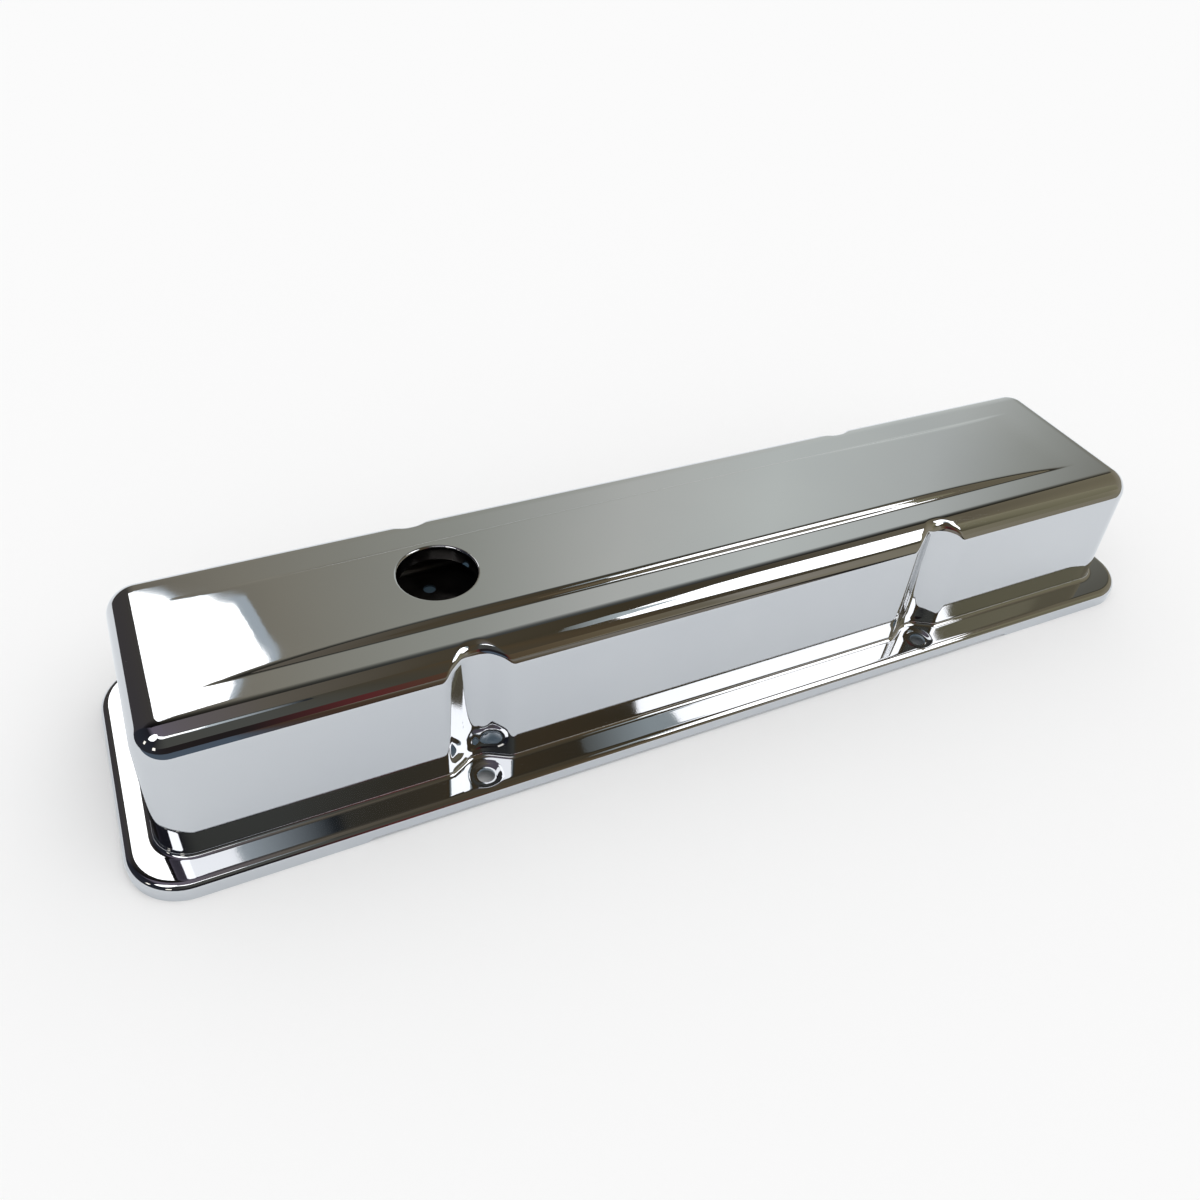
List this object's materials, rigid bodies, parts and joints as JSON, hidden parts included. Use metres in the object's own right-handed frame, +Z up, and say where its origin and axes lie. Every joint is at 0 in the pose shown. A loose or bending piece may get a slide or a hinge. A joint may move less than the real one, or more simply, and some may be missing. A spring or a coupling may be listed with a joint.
{
  "type": "engine valve cover",
  "caption": "Low pressed-steel, chrome-plated engine valve cover with perimeter flange bolts, fluted walls, a raised roof panel and a baffled breather hole.",
  "frame": {"origin": "under the middle of the cover, on the plane that its lip stands on", "axes": "+X along the cover, away from the breather hole; +Y across it; +Z up, out of the roof"},
  "size_m": [0.473, 0.1166, 0.067],
  "materials": {
    "chrome_plate": "polished chrome plate over pressed steel",
    "baffle_steel": "dull plated sheet, darkened by oil"
  },
  "bodies": {
    "root": {"cover_shell": "chrome_plate", "oil_baffle": "baffle_steel"}
  },
  "joints": []
}
